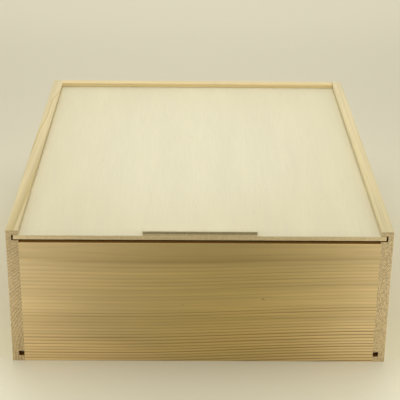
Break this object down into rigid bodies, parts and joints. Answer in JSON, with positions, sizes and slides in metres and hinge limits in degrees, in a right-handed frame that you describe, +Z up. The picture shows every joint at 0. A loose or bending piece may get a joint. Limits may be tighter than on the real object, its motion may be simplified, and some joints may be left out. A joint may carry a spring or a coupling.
{
  "type": "sliding lid wooden box",
  "caption": "Low rectangular wooden box of grooved boards with a thin plywood lid that slides out towards the front by a glued grip strip.",
  "frame": {"origin": "middle of the underside, on the surface that the box stands on", "axes": "+X to the right across the box, +Y from the front to the back, +Z up; the lid slides out along -Y"},
  "size_m": [0.28, 0.345, 0.108],
  "materials": {
    "pine_board": "planed and sanded bare pine",
    "lid_plywood": "sanded bare poplar plywood",
    "bottom_plywood": "bare poplar plywood",
    "grip_plywood": "sanded bare plywood strip with its cut edges showing",
    "brad_steel": "bright drawn wire"
  },
  "bodies": {
    "box": {"left_side": "pine_board", "right_side": "pine_board", "front_panel": "pine_board", "back_panel": "pine_board", "bottom_panel": "bottom_plywood", "front_left_brads": "brad_steel", "front_right_brads": "brad_steel", "back_left_brads": "brad_steel", "back_right_brads": "brad_steel"},
    "lid": {"lid_panel": "lid_plywood", "lid_grip": "grip_plywood"}
  },
  "joints": [
    {"name": "lid_slide", "type": "slide", "parent": "box", "child": "lid", "axis": [0, -1, 0], "range_m": [0, 0.345]}
  ]
}
